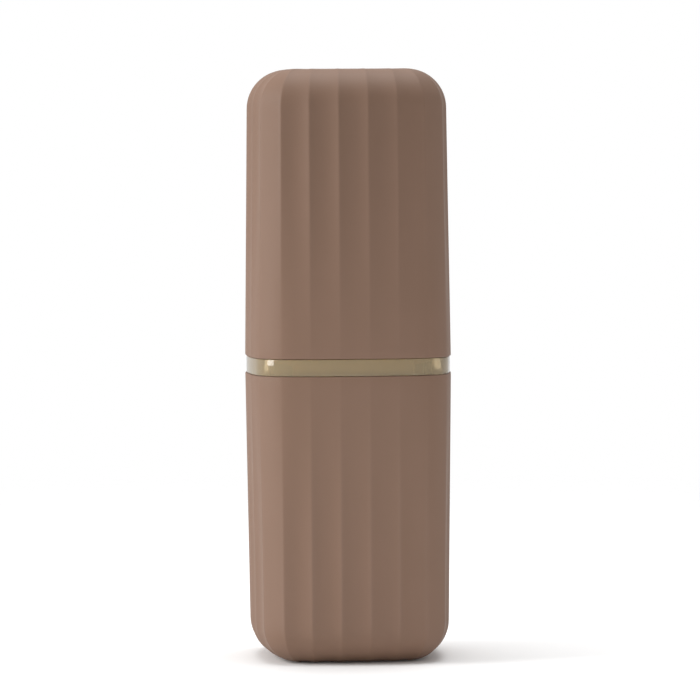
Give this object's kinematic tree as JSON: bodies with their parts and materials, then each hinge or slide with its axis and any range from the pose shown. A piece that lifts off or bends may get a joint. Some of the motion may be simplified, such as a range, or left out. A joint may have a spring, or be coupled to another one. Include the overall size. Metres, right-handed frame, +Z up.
{
  "type": "toothbrush travel case",
  "caption": "Tall rounded-square travel case for toothbrushes: fluted matt cup and matching lid pushed onto a clear collar with a lift-out divider.",
  "frame": {"origin": "middle of the closed end that the case stands on", "axes": "+Z up along the case, -Y towards the face with the two brush bays, +X to its right"},
  "size_m": [0.0718, 0.0718, 0.206],
  "materials": {
    "cup_plastic": "moulded polypropylene with a fine matt texture, mocha brown",
    "collar_plastic": "clear polished plastic, faintly warm",
    "seal_silicone": "soft translucent silicone",
    "divider_plastic": "moulded polypropylene, khaki, satin"
  },
  "bodies": {
    "body": {"body_cup": "cup_plastic"},
    "collar": {"clear_collar": "collar_plastic", "upper_seal": "seal_silicone", "lower_seal": "seal_silicone"},
    "divider": {"divider_insert": "divider_plastic"},
    "lid": {"lid_cup": "cup_plastic"}
  },
  "joints": [
    {"name": "collar_lift", "type": "slide", "parent": "body", "child": "collar", "axis": [0, 0, 1], "range_m": [0, 0.05]},
    {"name": "divider_lift", "type": "slide", "parent": "collar", "child": "divider", "axis": [0, 0, 1], "range_m": [0, 0.052]},
    {"name": "lid_lift", "type": "slide", "parent": "collar", "child": "lid", "axis": [0, 0, 1], "range_m": [0, 0.11]}
  ]
}
